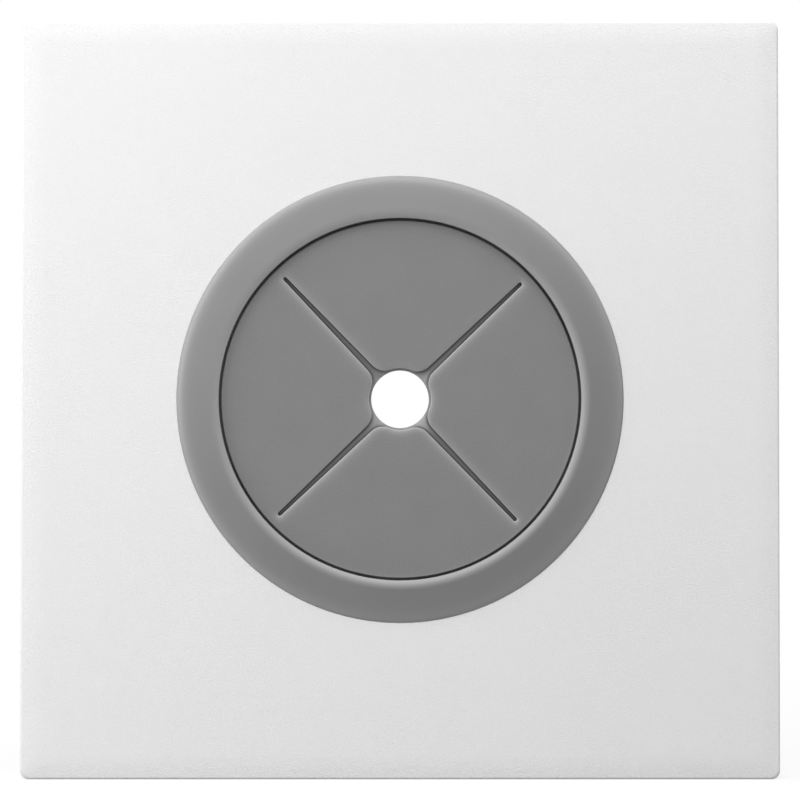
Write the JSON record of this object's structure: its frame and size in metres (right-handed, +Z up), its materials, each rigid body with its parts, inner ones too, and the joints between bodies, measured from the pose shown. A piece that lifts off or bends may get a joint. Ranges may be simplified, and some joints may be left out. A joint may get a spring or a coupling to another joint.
{
  "type": "cable outlet wall plate",
  "caption": "Square wall plate with a softly rounded front edge, a raised bezel ring and a soft petal membrane whose round centre hole lets a cable out of the wall box.",
  "frame": {"origin": "centre of the plate in the wall plane, where the frame's back rests on the wall", "axes": "+X to the right as seen from the room, +Z up, +Y into the wall; the plate's face looks along -Y"},
  "size_m": [0.086, 0.0091, 0.086],
  "materials": {
    "white_plastic": "fine sand grain, satin matte",
    "grey_plastic": "smooth satin",
    "grey_elastomer": "smooth matte"
  },
  "bodies": {
    "root": {"front_plate": "white_plastic", "mounting_frame": "white_plastic", "outlet_ring": "grey_plastic", "petal_membrane": "grey_elastomer"}
  },
  "joints": []
}
